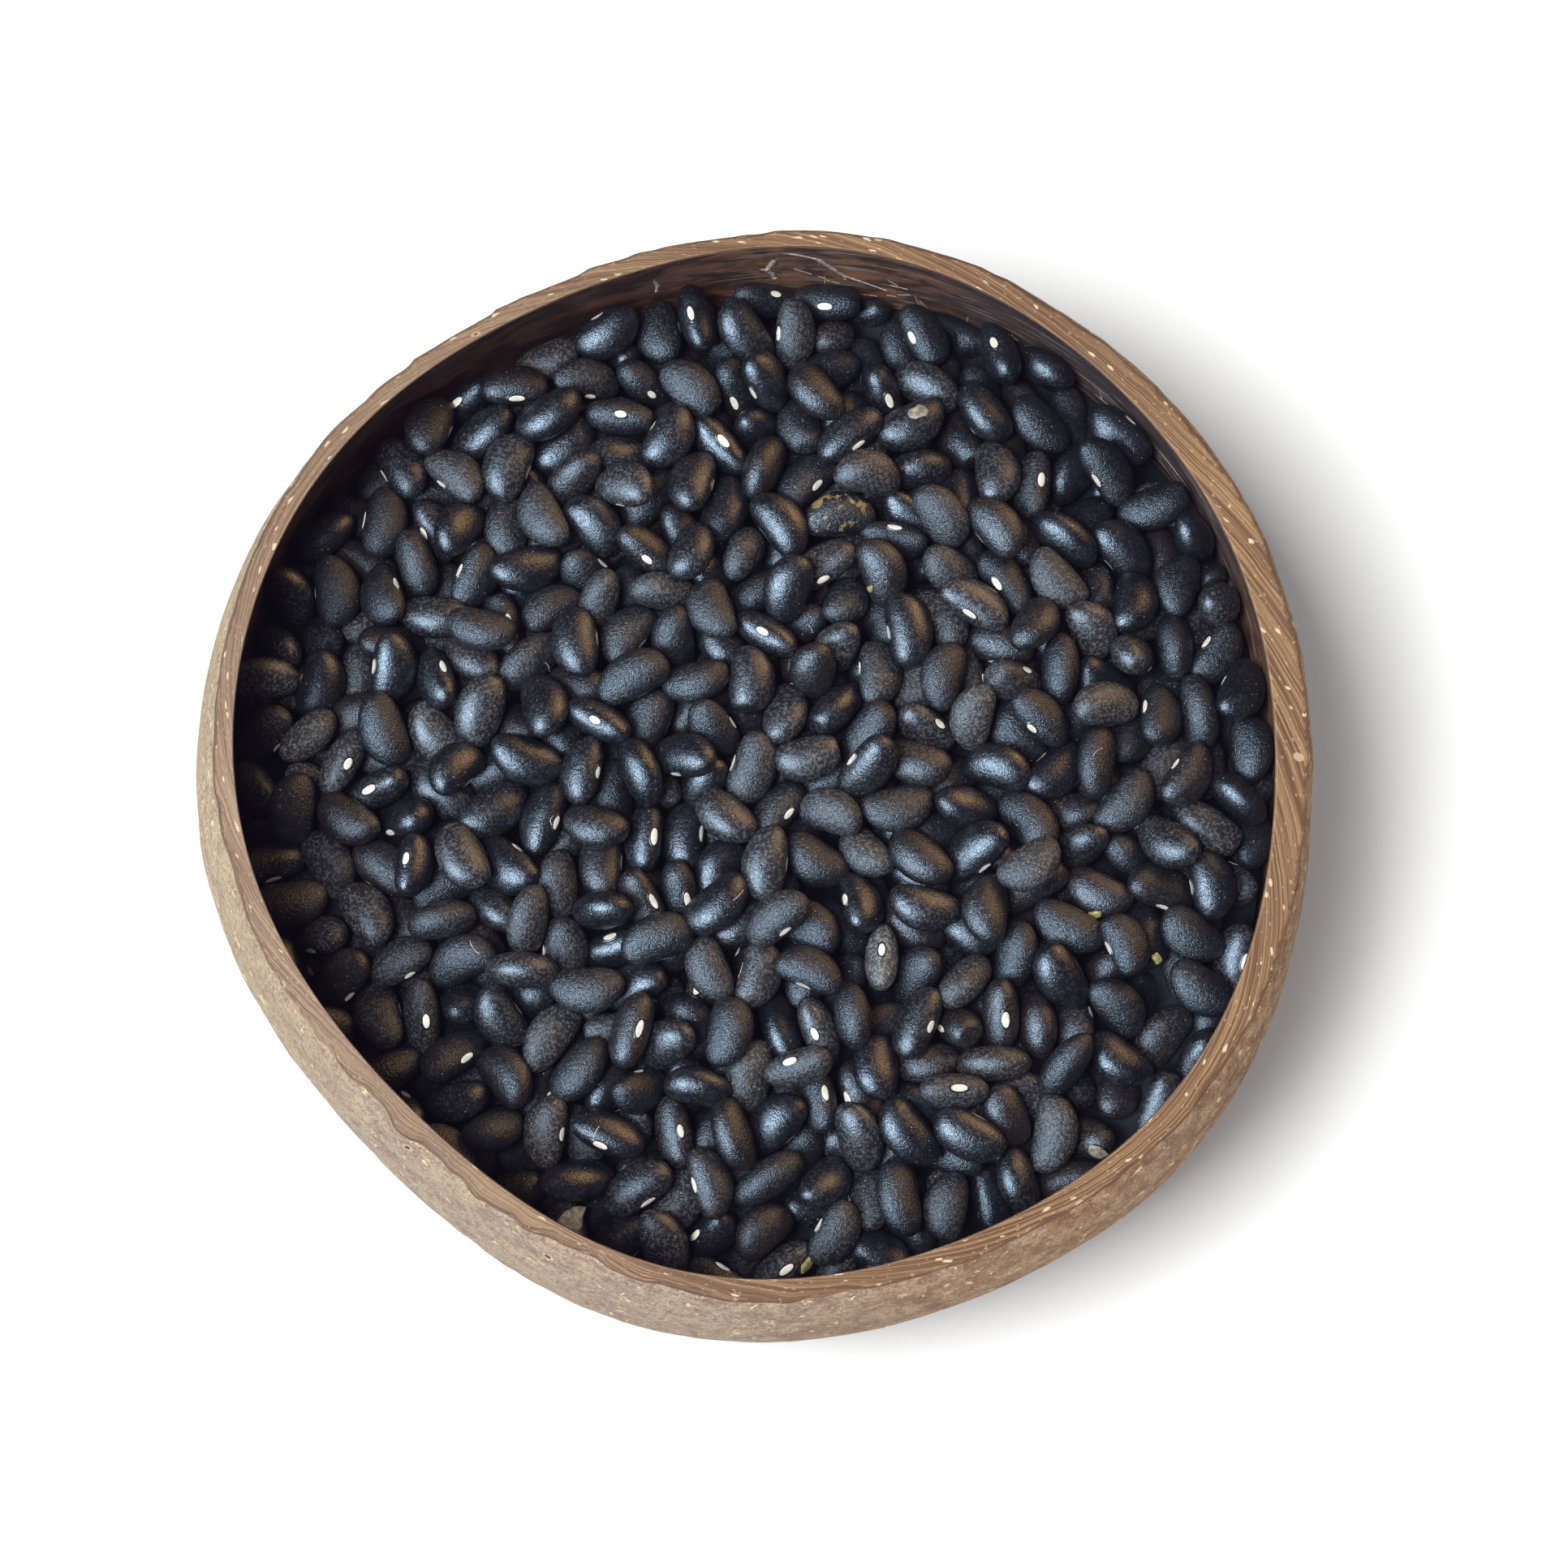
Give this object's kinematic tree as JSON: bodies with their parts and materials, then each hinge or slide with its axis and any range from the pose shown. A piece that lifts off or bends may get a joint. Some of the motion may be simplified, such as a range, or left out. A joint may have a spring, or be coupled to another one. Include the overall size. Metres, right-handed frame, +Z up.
{
  "type": "bowl of dried beans",
  "caption": "Half a coconut shell, used as a bowl and filled nearly to the rim with loose dried black beans; it stands on a small flat spot.",
  "frame": {"origin": "centre of the small flat spot under the bowl, on the surface that it stands on", "axes": "+Z up out of the bowl, +X to the right and +Y away from the viewer as the picture shows it"},
  "size_m": [0.1514, 0.15, 0.07],
  "materials": {
    "coconut_shell": "matt, sawn at the rim and fibrous outside",
    "black_beans": "satin, a little dusty"
  },
  "bodies": {
    "root": {"bowl": "coconut_shell", "beans": "black_beans"}
  },
  "joints": []
}
